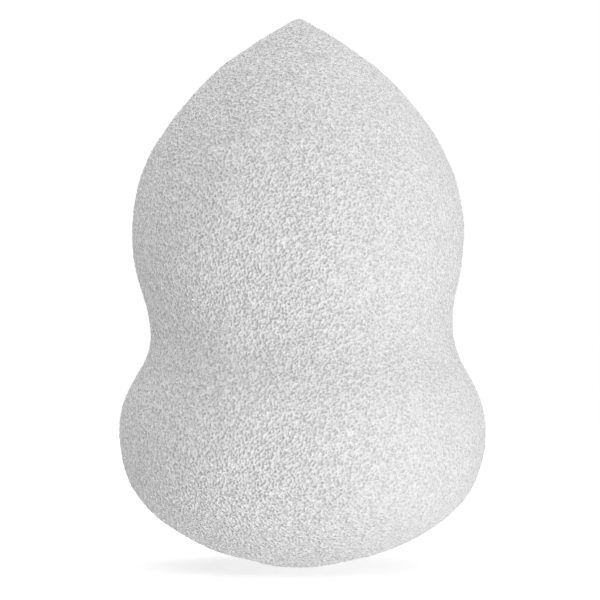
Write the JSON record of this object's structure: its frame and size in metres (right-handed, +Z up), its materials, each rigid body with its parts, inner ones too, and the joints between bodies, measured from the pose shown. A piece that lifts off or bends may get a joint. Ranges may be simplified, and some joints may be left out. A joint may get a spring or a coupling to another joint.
{
  "type": "makeup sponge",
  "caption": "Soft foam makeup sponge in a gourd shape: a round base and bulb for large areas, a drawn-in waist to hold it by and a point for fine work. Stands on its base.",
  "frame": {"origin": "middle of the small flat on which the sponge stands", "axes": "+Z up, along the axis about which the profile is turned; X and Y are alike, and -Y faces the picture's camera"},
  "size_m": [0.04, 0.04, 0.0595],
  "materials": {
    "foam": "matt, fine open-cell foam"
  },
  "bodies": {
    "root": {"foam_body": "foam"}
  },
  "joints": []
}
